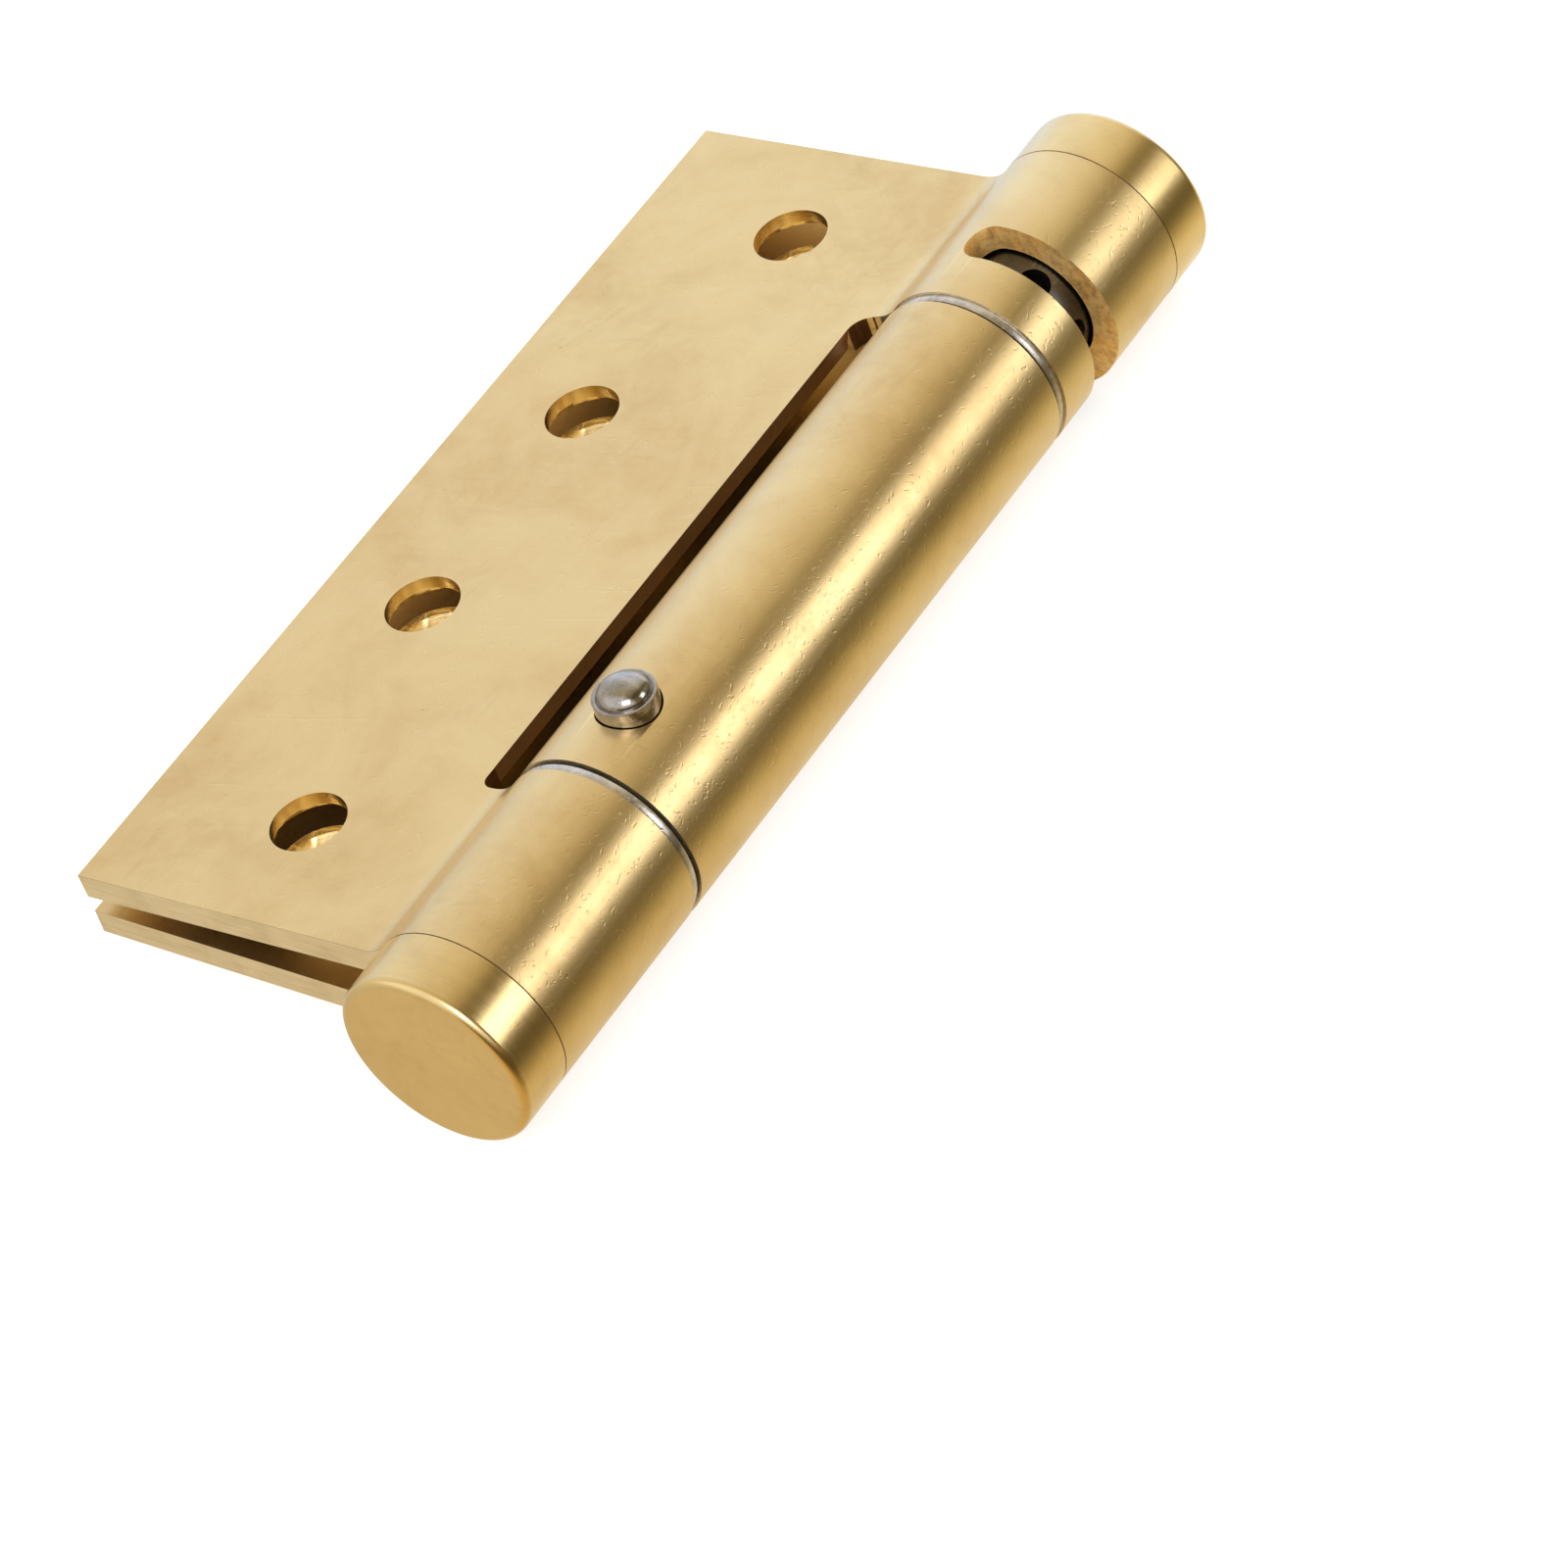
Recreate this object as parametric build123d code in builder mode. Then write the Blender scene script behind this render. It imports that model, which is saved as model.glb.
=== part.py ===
"""Adjustable spring hinge for a door: two rolled brass leaves on one sprung barrel, folded shut.

The barrel axis is the Y axis and the origin is the middle of the barrel. Both leaves point towards -X.
The leaf with the centre knuckle lies flat below, with its outer face down. The leaf with the two end
knuckles lies above it, and its tip leans down by the closing angle. All sizes are in millimetres.
"""

from build123d import *
from math import asin, cos, degrees, radians, sin, sqrt
import os

os.makedirs("parts", exist_ok=True)

# Driving dimensions of the leaves
leaf_length = 102.0
leaf_width = 42.0
sheet = 2.6
leaf_offset = 2.1
closing_angle = 3.4
bend_radius = 4.0
seam_gap = 0.25
edge_break = 0.25

# Driving dimensions of the barrel
barrel_radius = 9.25
end_knuckle_length = 19.85
joint_gap = 0.3
thrust_washer_thickness = 0.9
thrust_washer_inset = 0.2
cap_length = 6.0
cap_edge_radius = 0.8
spigot_length = 3.0

# Cut-outs beside the knuckles
slot_edge = 11.2
slot_bevel = 0.9
slot_corner_plain = 1.0
slot_corner_drum = 2.2

# Screw holes, two near the barrel and two near the tip
hole_radius = 3.55
countersink_radius = 5.5
countersink_angle = 90.0
near_row = 24.3
tip_row = 30.5
near_row_spacing = 78.7
tip_row_spacing = 26.0

# Window over the tension drum, measured from the washer end of its knuckle
window_offset = 7.15
window_width = 4.3
window_depth = 2.5

# Tension drum
drum_clearance = 0.35
drum_edge = 0.5
drum_hole_count = 6
drum_hole_radius = 1.5
drum_hole_floor = 0.74
drum_hole_phase = 55.0
drum_groove_width = 0.5
drum_groove_depth = 0.3
drum_groove_offset = 1.85

# Spindle, its clips and its washers
spindle_radius = 2.5
spindle_overhang = 1.2
spindle_chamfer = 0.4
spindle_end_gap = 1.0
groove_depth = 0.4
clip_thickness = 0.8
clip_width = 1.7
clip_mouth = 2.6
washer_thickness = 1.0
washer_width = 2.4

# Clearances
running_clearance = 0.06
seat_clearance = 0.03
end_clearance = 0.1

# Bush in the drum end of the centre knuckle
drum_bush_length = 6.5
drum_bush_wall = 1.45
neck_lead = 3.8

# Torsion spring and its anchor
wire = 2.0
coil_gap = 0.6
spring_clearance = 0.75
spring_end_gap = 0.4
tang_length = 3.2
tang_clearance = 0.25
anchor_length = 14.0

# Domed stud that pins the spring anchor in the centre knuckle
stud_radius = 2.9
stud_hole_clearance = 0.12
stud_stand = 1.6
stud_dome = 1.0
stud_rim = 0.35
stud_shank_radius = 2.0
stud_floor = 0.89

# Sizes that follow
bore_radius = barrel_radius - sheet
outer_face = leaf_offset + sheet
half_leaf = leaf_length / 2
end_knuckle_start = half_leaf - end_knuckle_length
half_centre = end_knuckle_start - thrust_washer_thickness - joint_gap
spigot_radius = bore_radius - seat_clearance
spindle_bore = spindle_radius + running_clearance
spindle_seat = spindle_radius + seat_clearance
window_middle = end_knuckle_start + window_offset
drum_radius = bore_radius - drum_clearance
drum_neck_radius = bore_radius - drum_bush_wall
drum_hole_depth = drum_radius - spindle_bore - drum_hole_floor
thrust_washer_radius = barrel_radius - thrust_washer_inset
thrust_washer_bore = drum_neck_radius + running_clearance
spring_mean_radius = bore_radius - spring_clearance - wire / 2
spring_pitch = wire + coil_gap
stud_shank_length = bore_radius - spindle_bore - stud_floor

# Places along the barrel of the pieces inside, with their lengths
spindle_end_room = end_clearance + washer_thickness + clip_thickness + spindle_overhang
end_knuckle_room = end_knuckle_length - spigot_length - spindle_end_gap - spindle_end_room
plain_bush_end = -end_knuckle_start
plain_bush_start = plain_bush_end - end_knuckle_room
drum_start = end_knuckle_start + spring_end_gap
drum_end = end_knuckle_start + end_knuckle_room
plain_clip_face = plain_bush_start - end_clearance - washer_thickness
drum_clip_face = drum_end + end_clearance + washer_thickness
anchor_start = -half_centre + spring_end_gap
anchor_end = anchor_start + anchor_length
stud_place = anchor_start + anchor_length / 2
spring_start = anchor_end + spring_end_gap + wire / 2
spring_limit = half_centre - drum_bush_length - neck_lead - spring_end_gap - wire / 2
spring_turns = int((spring_limit - spring_start) / spring_pitch)
spring_end = spring_start + spring_turns * spring_pitch
neck_start = spring_end + wire / 2 + spring_end_gap
tang_depth = tang_length + tang_clearance

# Where the outer face of a leaf turns up onto the barrel
bend_rise = outer_face + bend_radius
bend_reach = sqrt((barrel_radius + bend_radius) ** 2 - bend_rise**2)
bend_angle = degrees(asin(bend_rise / (barrel_radius + bend_radius)))

# Section planes: local x points away from the leaf tip and local y towards the outer face
upper_x = (cos(radians(closing_angle)), 0, sin(radians(closing_angle)))
upper_normal = (-sin(radians(closing_angle)), 0, cos(radians(closing_angle)))
upper_section = Plane(origin=(0, 0, 0), x_dir=upper_x, z_dir=(0, -1, 0))
lower_section = Plane(origin=(0, 0, 0), x_dir=(1, 0, 0), z_dir=(0, 1, 0))

# Leaf planes: local x as above, local z along the outward normal of the outer face
upper_leaf = Plane(origin=(0, 0, 0), x_dir=upper_x, z_dir=upper_normal)
lower_leaf = Plane(origin=(0, 0, 0), x_dir=(1, 0, 0), z_dir=(0, 0, -1))

# Planes across the barrel, seen so that their normal points along +Y
across = Plane(origin=(0, 0, 0), x_dir=(1, 0, 0), z_dir=(0, 1, 0))


def at(y):
    """Plane across the barrel at the place y along it."""
    return across.offset(y)


def leaf_profile():
    """Section of a leaf: a flat plate, a soft bend, and the sheet rolled round almost to its own face."""
    outer_turn = (-bend_reach, outer_face)
    inner_turn = (-bend_reach, leaf_offset)
    to_bend = (-cos(radians(bend_angle)), sin(radians(bend_angle)))
    mid_turn = radians(270 + (90 - bend_angle) / 2)
    bend_centre = (-bend_reach, bend_rise)
    on_barrel = (barrel_radius * to_bend[0], barrel_radius * to_bend[1])
    on_bore = (bore_radius * to_bend[0], bore_radius * to_bend[1])
    outer_mid = (
        bend_centre[0] + bend_radius * cos(mid_turn),
        bend_centre[1] + bend_radius * sin(mid_turn),
    )
    inner_mid = (
        bend_centre[0] + (bend_radius + sheet) * cos(mid_turn),
        bend_centre[1] + (bend_radius + sheet) * sin(mid_turn),
    )
    roll_end = leaf_offset - seam_gap
    end_outside = (-sqrt(barrel_radius**2 - roll_end**2), roll_end)
    end_inside = (-sqrt(bore_radius**2 - roll_end**2), roll_end)
    with BuildSketch() as profile:
        with BuildLine():
            Line((-leaf_width, outer_face), outer_turn)
            ThreePointArc(outer_turn, outer_mid, on_barrel)
            ThreePointArc(on_barrel, (barrel_radius, 0), end_outside)
            Line(end_outside, end_inside)
            ThreePointArc(end_inside, (bore_radius, 0), on_bore)
            ThreePointArc(on_bore, inner_mid, inner_turn)
            Line(inner_turn, (-leaf_width, leaf_offset))
            Line((-leaf_width, leaf_offset), (-leaf_width, outer_face))
        make_face()
    return profile.sketch


def screw_places():
    """The four screw holes of a leaf, as points on its leaf plane."""
    near = [(-near_row, side * near_row_spacing / 2) for side in (-1, 1)]
    tip = [(-tip_row, side * tip_row_spacing / 2) for side in (-1, 1)]
    return near + tip


def ring(outer, inner):
    """Section of a plain ring about the barrel axis."""
    with BuildSketch() as section:
        Circle(outer)
        Circle(inner, mode=Mode.SUBTRACT)
    return section.sketch


# Upper leaf, with the plain end knuckle at -Y and the windowed one at +Y
with BuildPart() as end_knuckle_leaf:
    with BuildSketch(upper_section):
        add(leaf_profile())
    extrude(amount=half_leaf, both=True)
    tip_edges = end_knuckle_leaf.faces().sort_by(Axis.X)[0].edges()
    chamfer(tip_edges, length=edge_break)
    with BuildSketch(upper_leaf.offset(-2 * barrel_radius)) as centre_space:
        with Locations((barrel_radius, 0)):
            Rectangle(2 * (slot_edge + barrel_radius), 2 * end_knuckle_start)
        corners = centre_space.vertices().group_by(Axis.X)[0].sort_by(Axis.Y)
        fillet(corners[0], radius=slot_corner_plain)
        fillet(centre_space.vertices().group_by(Axis.X)[0].sort_by(Axis.Y)[-1], radius=slot_corner_drum)
    extrude(amount=4 * barrel_radius, mode=Mode.SUBTRACT)
    with BuildSketch(upper_section):
        Polygon(
            (-slot_edge, outer_face),
            (-slot_edge - slot_bevel, leaf_offset),
            (-slot_edge, leaf_offset),
            align=None,
        )
    extrude(amount=end_knuckle_start - slot_corner_drum, both=True, mode=Mode.SUBTRACT)
    with BuildSketch(upper_leaf.offset(-2 * barrel_radius)):
        with Locations((window_width / 2 - window_depth, window_middle)):
            Circle(window_width / 2)
        with Locations((window_width / 2 - window_depth + barrel_radius, window_middle)):
            Rectangle(2 * barrel_radius, window_width)
    extrude(amount=4 * barrel_radius, mode=Mode.SUBTRACT)
    with Locations(upper_leaf.offset(leaf_offset)):
        with Locations(*[Location((x, y, 0), (180, 0, 0)) for x, y in screw_places()]):
            CounterSinkHole(hole_radius, countersink_radius, depth=2 * sheet, counter_sink_angle=countersink_angle)

# Lower leaf, with the long centre knuckle and the hole for the stud
with BuildPart() as centre_knuckle_leaf:
    with BuildSketch(lower_section):
        add(leaf_profile())
    extrude(amount=half_leaf, both=True)
    tip_edges = centre_knuckle_leaf.faces().sort_by(Axis.X)[0].edges()
    chamfer(tip_edges, length=edge_break)
    for side in (-1, 1):
        with BuildSketch(Plane.XY.offset(-2 * barrel_radius)) as end_space:
            with Locations((barrel_radius, side * (half_centre + half_leaf))):
                Rectangle(2 * (slot_edge + barrel_radius), 2 * half_leaf)
            inner_corner = end_space.vertices().sort_by(Axis.X)[:2].sort_by(Axis.Y)[0 if side > 0 else -1]
            fillet(inner_corner, radius=slot_corner_plain)
        extrude(amount=4 * barrel_radius, mode=Mode.SUBTRACT)
    with BuildSketch(Plane.XY):
        with Locations((0, stud_place)):
            Circle(stud_radius + stud_hole_clearance)
    extrude(amount=2 * barrel_radius, mode=Mode.SUBTRACT)
    with Locations(lower_leaf.offset(leaf_offset)):
        with Locations(*[Location((x, y, 0), (180, 0, 0)) for x, y in screw_places()]):
            CounterSinkHole(hole_radius, countersink_radius, depth=2 * sheet, counter_sink_angle=countersink_angle)


def end_cap(side):
    """A turned cap with a spigot, pressed into the end of the barrel on the side given."""
    with BuildPart() as cap:
        with BuildSketch(Plane.XY) as half_section:
            with BuildLine():
                Polyline(
                    (0, half_leaf - spigot_length),
                    (spigot_radius, half_leaf - spigot_length),
                    (spigot_radius, half_leaf),
                    (barrel_radius, half_leaf),
                    (barrel_radius, half_leaf + cap_length),
                    (0, half_leaf + cap_length),
                    close=True,
                )
            make_face()
            rim = half_section.vertices().sort_by(SortBy.DISTANCE)[-1]
            fillet(rim, radius=cap_edge_radius)
        revolve(axis=Axis.Y)
        if side < 0:
            mirror(about=Plane.XZ, mode=Mode.REPLACE)
    return cap.part


plain_end_cap = end_cap(-1)
drum_end_cap = end_cap(1)


def thrust_washer(side):
    """The steel washer that lies against the end knuckle on the side given."""
    with BuildPart() as washer:
        with BuildSketch(at(half_centre + joint_gap)):
            add(ring(thrust_washer_radius, thrust_washer_bore))
        extrude(amount=thrust_washer_thickness)
        if side < 0:
            mirror(about=Plane.XZ, mode=Mode.REPLACE)
    return washer.part


plain_thrust_washer = thrust_washer(-1)
drum_thrust_washer = thrust_washer(1)

# Plain bush pressed into the end knuckle at -Y
with BuildPart() as plain_bush:
    with BuildSketch(at(plain_bush_start)):
        add(ring(spigot_radius, spindle_seat))
    extrude(amount=plain_bush_end - plain_bush_start)

# Bush pressed into the drum end of the centre knuckle, round the neck of the drum
with BuildPart() as drum_neck_bush:
    with BuildSketch(at(half_centre - drum_bush_length)):
        add(ring(spigot_radius, drum_neck_radius + running_clearance))
    extrude(amount=drum_bush_length)

# Spindle through the whole barrel, with a groove for a clip near each end
spindle_start = plain_clip_face - clip_thickness - spindle_overhang
spindle_stop = drum_clip_face + clip_thickness + spindle_overhang
with BuildPart() as spindle:
    with BuildSketch(at(spindle_start)):
        Circle(spindle_radius)
    extrude(amount=spindle_stop - spindle_start)
    chamfer(spindle.edges().filter_by(GeomType.CIRCLE), length=spindle_chamfer)
    for groove_start in (plain_clip_face - clip_thickness, drum_clip_face):
        with BuildSketch(at(groove_start)):
            Circle(2 * spindle_radius)
            Circle(spindle_radius - groove_depth, mode=Mode.SUBTRACT)
        extrude(amount=clip_thickness, mode=Mode.SUBTRACT)


def spindle_clip(start):
    """An open retaining clip that sits in a groove of the spindle, with its mouth towards -Z."""
    clip_bore = spindle_radius - groove_depth + seat_clearance
    with BuildPart() as clip:
        with BuildSketch(at(start)):
            Circle(clip_bore + clip_width)
            Circle(clip_bore, mode=Mode.SUBTRACT)
            with Locations((0, clip_bore + clip_width)):
                Rectangle(clip_mouth, 2 * (clip_bore + clip_width), mode=Mode.SUBTRACT)
        extrude(amount=clip_thickness)
    return clip.part


plain_end_clip = spindle_clip(plain_clip_face - clip_thickness)
drum_end_clip = spindle_clip(drum_clip_face)

# Washers under the clips
with BuildPart() as plain_end_washer:
    with BuildSketch(at(plain_clip_face)):
        add(ring(spindle_bore + washer_width, spindle_bore))
    extrude(amount=washer_thickness)
with BuildPart() as drum_end_washer:
    with BuildSketch(at(drum_clip_face - washer_thickness)):
        add(ring(spindle_bore + washer_width, spindle_bore))
    extrude(amount=washer_thickness)

# Spring anchor in the centre knuckle, with a blind hole for the stud and a notch for the tang
with BuildPart() as spring_anchor:
    with BuildSketch(at(anchor_start)):
        add(ring(spigot_radius, spindle_bore))
    extrude(amount=anchor_length)
    with BuildSketch(at(anchor_end)):
        with Locations((0, -spring_mean_radius - wire)):
            Rectangle(wire + 2 * tang_clearance, 3 * wire + 2 * tang_clearance)
    extrude(amount=-tang_depth, mode=Mode.SUBTRACT)
    with BuildSketch(Plane.XY.offset(bore_radius)):
        with Locations((0, stud_place)):
            Circle(stud_shank_radius + seat_clearance)
    extrude(amount=-stud_shank_length - seat_clearance, mode=Mode.SUBTRACT)

# Domed stud: a shank in the anchor, a cylinder through the wall, a small rim and a dome
stud_foot = bore_radius
stud_shoulder = barrel_radius + stud_stand
dome_base = stud_radius - stud_rim
dome_radius = (dome_base**2 + stud_dome**2) / (2 * stud_dome)
dome_mid = asin(dome_base / dome_radius) / 2
dome_centre = stud_shoulder + stud_dome - dome_radius
with BuildPart() as anchor_stud:
    with BuildSketch(Plane(origin=(0, stud_place, 0), x_dir=(1, 0, 0), z_dir=(0, -1, 0))):
        with BuildLine():
            Polyline(
                (0, stud_shoulder + stud_dome),
                (0, stud_foot - stud_shank_length),
                (stud_shank_radius, stud_foot - stud_shank_length),
                (stud_shank_radius, stud_foot),
                (stud_radius, stud_foot),
                (stud_radius, stud_shoulder),
                (dome_base, stud_shoulder),
            )
            ThreePointArc(
                (dome_base, stud_shoulder),
                (dome_radius * sin(dome_mid), dome_centre + dome_radius * cos(dome_mid)),
                (0, stud_shoulder + stud_dome),
            )
        make_face()
    revolve(axis=Axis(origin=(0, stud_place, 0), direction=(0, 0, 1)))

# Torsion spring of square wire, with a straight tang at each end
with BuildPart() as torsion_spring:
    with BuildLine(mode=Mode.PRIVATE) as coil:
        Helix(
            pitch=spring_pitch,
            height=spring_end - spring_start,
            radius=spring_mean_radius,
            center=(0, spring_start, 0),
            direction=(0, 1, 0),
        )
    coil_start = coil.line @ 0
    coil_finish = coil.line @ 1
    with BuildSketch(Plane(origin=coil_start, x_dir=(0, 1, 0), z_dir=coil.line % 0)):
        Rectangle(wire, wire)
    sweep(path=coil.line, is_frenet=True)
    with Locations(coil_start - Vector(0, tang_length / 2, 0), coil_finish + Vector(0, tang_length / 2, 0)):
        Box(wire, tang_length, wire)

# Tension drum: a neck that the spring hooks into, and a body with radial holes for the turning bar
with BuildPart() as tension_drum:
    with BuildSketch(at(drum_start)):
        add(ring(drum_radius, spindle_bore))
    extrude(amount=drum_end - drum_start)
    body_rims = tension_drum.edges().filter_by(GeomType.CIRCLE).group_by(SortBy.RADIUS)[-1]
    chamfer(body_rims, length=drum_edge)
    with BuildSketch(at(neck_start)):
        add(ring(drum_neck_radius, spindle_bore))
    extrude(amount=drum_start - neck_start)
    with BuildSketch(at(window_middle - drum_groove_offset)):
        Circle(2 * drum_radius)
        Circle(drum_radius - drum_groove_depth, mode=Mode.SUBTRACT)
    extrude(amount=-drum_groove_width, mode=Mode.SUBTRACT)
    with BuildSketch(at(neck_start)):
        with Locations((0, -spring_mean_radius - wire)):
            Rectangle(wire + 2 * tang_clearance, 3 * wire + 2 * tang_clearance)
    extrude(amount=tang_depth, mode=Mode.SUBTRACT)
    for step in range(drum_hole_count):
        turn = radians(drum_hole_phase + closing_angle + step * 360 / drum_hole_count)
        outward = (cos(turn), 0, sin(turn))
        hole_mouth = (drum_radius * cos(turn), window_middle, drum_radius * sin(turn))
        with BuildSketch(Plane(origin=hole_mouth, x_dir=(0, 1, 0), z_dir=outward).offset(drum_edge)):
            Circle(drum_hole_radius)
        extrude(amount=-drum_hole_depth - drum_edge, mode=Mode.SUBTRACT)

pieces = {
    "end_knuckle_leaf": end_knuckle_leaf.part,
    "centre_knuckle_leaf": centre_knuckle_leaf.part,
    "plain_end_cap": plain_end_cap,
    "drum_end_cap": drum_end_cap,
    "plain_thrust_washer": plain_thrust_washer,
    "drum_thrust_washer": drum_thrust_washer,
    "plain_bush": plain_bush.part,
    "drum_neck_bush": drum_neck_bush.part,
    "spindle": spindle.part,
    "plain_end_clip": plain_end_clip,
    "drum_end_clip": drum_end_clip,
    "plain_end_washer": plain_end_washer.part,
    "drum_end_washer": drum_end_washer.part,
    "spring_anchor": spring_anchor.part,
    "anchor_stud": anchor_stud.part,
    "torsion_spring": torsion_spring.part,
    "tension_drum": tension_drum.part,
}
for name, piece in pieces.items():
    piece.label = name
    export_step(piece, f"parts/{name}.step")
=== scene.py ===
"""Looks of the folded spring hinge: worn satin brass, scratched washers, a drum painted dark as painted shade
and a chrome stud.

Every visible piece is a cleaned and edge-broken copy of its CAD node, apart from the stud, which is turned
anew. The spring inside is cut into two halves. Sizes of the hinge are in
millimetres in the classes below and become metres where a mesh is made. Lamps are given in metres.
"""

import logging
import math
from dataclasses import dataclass, field
from enum import Enum
from typing import Callable

import bmesh
import bpy
from mathutils import Matrix, Vector


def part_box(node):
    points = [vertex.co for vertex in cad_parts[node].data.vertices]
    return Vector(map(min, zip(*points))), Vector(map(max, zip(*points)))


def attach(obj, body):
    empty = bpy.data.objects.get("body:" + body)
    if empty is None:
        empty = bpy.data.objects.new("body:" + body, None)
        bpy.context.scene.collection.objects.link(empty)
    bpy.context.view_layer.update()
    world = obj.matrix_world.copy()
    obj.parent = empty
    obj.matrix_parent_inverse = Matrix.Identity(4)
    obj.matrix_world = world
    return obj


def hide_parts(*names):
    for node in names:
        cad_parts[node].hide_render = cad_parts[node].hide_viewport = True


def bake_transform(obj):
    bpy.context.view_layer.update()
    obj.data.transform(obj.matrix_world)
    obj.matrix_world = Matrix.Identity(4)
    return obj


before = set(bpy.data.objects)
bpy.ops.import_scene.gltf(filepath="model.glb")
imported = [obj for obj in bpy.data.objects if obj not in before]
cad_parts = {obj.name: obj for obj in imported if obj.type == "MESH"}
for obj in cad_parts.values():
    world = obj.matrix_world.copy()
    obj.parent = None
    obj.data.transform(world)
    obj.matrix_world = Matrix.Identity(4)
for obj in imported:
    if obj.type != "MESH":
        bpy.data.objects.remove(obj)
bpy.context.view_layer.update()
MM = 0.001
EVEN = (1.0, 1.0, 1.0)
Colour = tuple[float, float, float]
Triple = tuple[float, float, float]
Socket = bpy.types.NodeSocket
log = logging.getLogger("spring_hinge")


class Face(Enum):
    """What made a face of a piece, which decides its finish."""

    OUTER = 0
    CUT = 1
    TURNED = 2
    MILLED = 3
    # The bore, and the slot's long walls painted dark as painted shade.
    BORE_AND_SLOT_SHADE = 4
    INNER = 5
    SEAM = 6


class Tree:
    """A node tree of a material or of the world, with short ways to add and join nodes."""

    def __init__(self, owner: bpy.types.Material | bpy.types.World) -> None:
        """Starts an empty tree.

        Args:
            owner: the material or world that the tree belongs to.
        """
        owner.use_nodes = True
        self.tree = owner.node_tree
        self.tree.nodes.clear()

    def put(self, node: bpy.types.Node, name: str | int, value: object) -> None:
        """Sets or links one input socket.

        Args:
            node: the node that owns the socket.
            name: the socket's name or place.
            value: a number, a colour or a socket to link from.
        """
        socket = node.inputs[name]
        if isinstance(value, Socket):
            self.tree.links.new(value, socket)
        elif isinstance(value, tuple) and socket.type == "RGBA" and len(value) == 3:
            socket.default_value = (*value, 1.0)
        else:
            socket.default_value = value

    def add(self, kind: str, **values: object) -> bpy.types.Node:
        """Adds a node and fills its sockets.

        Args:
            kind: the node's type name after ShaderNode.
            values: socket names with underscores for spaces, each a number, a colour or a socket.

        Returns:
            The new node.
        """
        node = self.tree.nodes.new("ShaderNode" + kind)
        for name, value in values.items():
            self.put(node, name.replace("_", " "), value)
        return node

    def math(self, operation: str, *values: object) -> Socket:
        """Adds a Math node.

        Args:
            operation: the name of the operation.
            values: its inputs in order.

        Returns:
            The result socket.
        """
        node = self.tree.nodes.new("ShaderNodeMath")
        node.operation = operation
        for place, value in enumerate(values):
            self.put(node, place, value)
        return node.outputs[0]

    def times(self, *values: object) -> Socket:
        """Multiplies two or more numbers or sockets.

        Args:
            values: the factors, of which the first is a socket.

        Returns:
            The product socket.
        """
        product = values[0]
        for value in values[1:]:
            product = self.math("MULTIPLY", product, value)
        return product

    def span(self, value: Socket, low: float, high: float, start: float = 0.0, end: float = 1.0) -> Socket:
        """Maps a value from low..high to start..end and keeps it there.

        Args:
            value: the socket to map.
            low: the value that gives start.
            high: the value that gives end.
            start: the result at low.
            end: the result at high.

        Returns:
            The mapped socket.
        """
        node = self.tree.nodes.new("ShaderNodeMapRange")
        names = ("Value", "From Min", "From Max", "To Min", "To Max")
        for name, setting in zip(names, (value, low, high, start, end)):
            self.put(node, name, setting)
        return node.outputs["Result"]

    def blend(self, share: object, first: object, second: object, way: str = "MIX") -> Socket:
        """Mixes two colours.

        Args:
            share: how much of the second shows.
            first: the colour at share 0.
            second: the colour at share 1.
            way: the blend type.

        Returns:
            The mixed colour.
        """
        node = self.tree.nodes.new("ShaderNodeMix")
        node.data_type = "RGBA"
        node.blend_type = way
        for place, value in ((0, share), (6, first), (7, second)):
            self.put(node, place, value)
        return node.outputs[2]

    def tone(self, colour: object, level: Socket) -> Socket:
        """Darkens or lightens a colour by a level around 1.

        Args:
            colour: the colour or its socket.
            level: the factor for all three channels.

        Returns:
            The toned colour.
        """
        grey = self.add("CombineColor", Red=level, Green=level, Blue=level)
        return self.blend(1.0, colour, grey.outputs[0], "MULTIPLY")

    def place(self, scale: Triple, turn: float = 0.0) -> Socket:
        """Object coordinates, turned about Z and then scaled.

        Args:
            scale: repeats per metre along each axis.
            turn: the angle about Z in degrees.

        Returns:
            The vector socket.
        """
        coordinates = self.tree.nodes.new("ShaderNodeTexCoord")
        turned = self.add("Mapping", Vector=coordinates.outputs["Object"])
        turned.inputs["Rotation"].default_value = (0.0, 0.0, math.radians(turn))
        scaled = self.add("Mapping", Vector=turned.outputs[0])
        scaled.inputs["Scale"].default_value = scale
        return scaled.outputs[0]

    def noise(
        self, vector: Socket, scale: float = 1.0, detail: float = 3.0, rough: float = 0.5, bend: float = 0.0,
    ) -> Socket:
        """A noise value over a vector.

        Args:
            vector: where the noise is read.
            scale: its scale.
            detail: how many finer layers it has.
            rough: how strong the finer layers are.
            bend: how far the pattern is distorted.

        Returns:
            The noise between 0 and 1.
        """
        node = self.add(
            "TexNoise", Vector=vector, Scale=scale, Detail=detail, Roughness=rough, Distortion=bend,
        )
        return node.outputs[0]


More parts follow.
